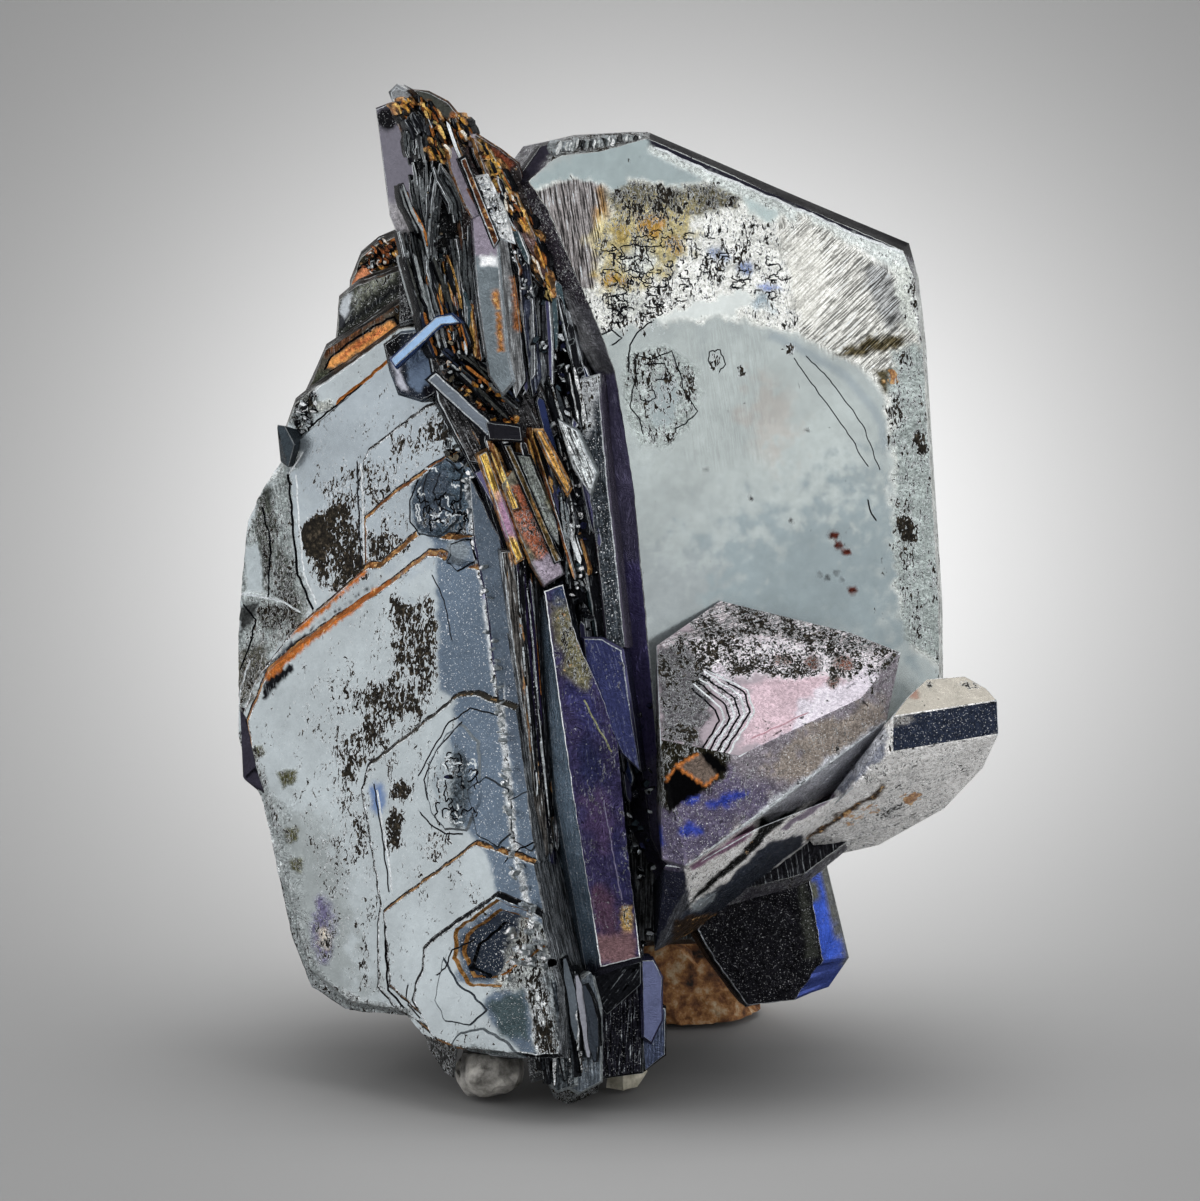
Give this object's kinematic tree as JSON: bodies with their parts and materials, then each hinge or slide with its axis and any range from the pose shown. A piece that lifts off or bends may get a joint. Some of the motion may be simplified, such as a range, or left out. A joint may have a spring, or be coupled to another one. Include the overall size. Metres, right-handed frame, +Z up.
{
  "type": "hematite crystal aggregate",
  "caption": "Loose hematite specimen: tabular crystals grown together like an open book, stepped silver faces, a shelf crystal at the right, iron-stained laths, standing on its matrix.",
  "frame": {"origin": "on the surface that the specimen stands on, under the middle of its box", "axes": "+Z up, -Y towards the viewer of the spine where the two leaves of the book meet, +X to the viewer's right, the side of the big mirror face and the shelf crystal"},
  "size_m": [0.045, 0.0312, 0.0595],
  "materials": {
    "hematite": "metallic, mirror-bright to satin, with dark skeletal patches, orange-brown iron stain and violet-blue tarnish",
    "limonite": "earthy orange-brown and cream crust",
    "quartz": "greasy grey-cream broken quartz",
    "quartz_chip": "cream broken quartz"
  },
  "bodies": {
    "root": {"hematite_crystals": "hematite", "limonite_matrix": "limonite", "quartz_lump": "quartz", "quartz_chip": "quartz_chip"}
  },
  "joints": []
}
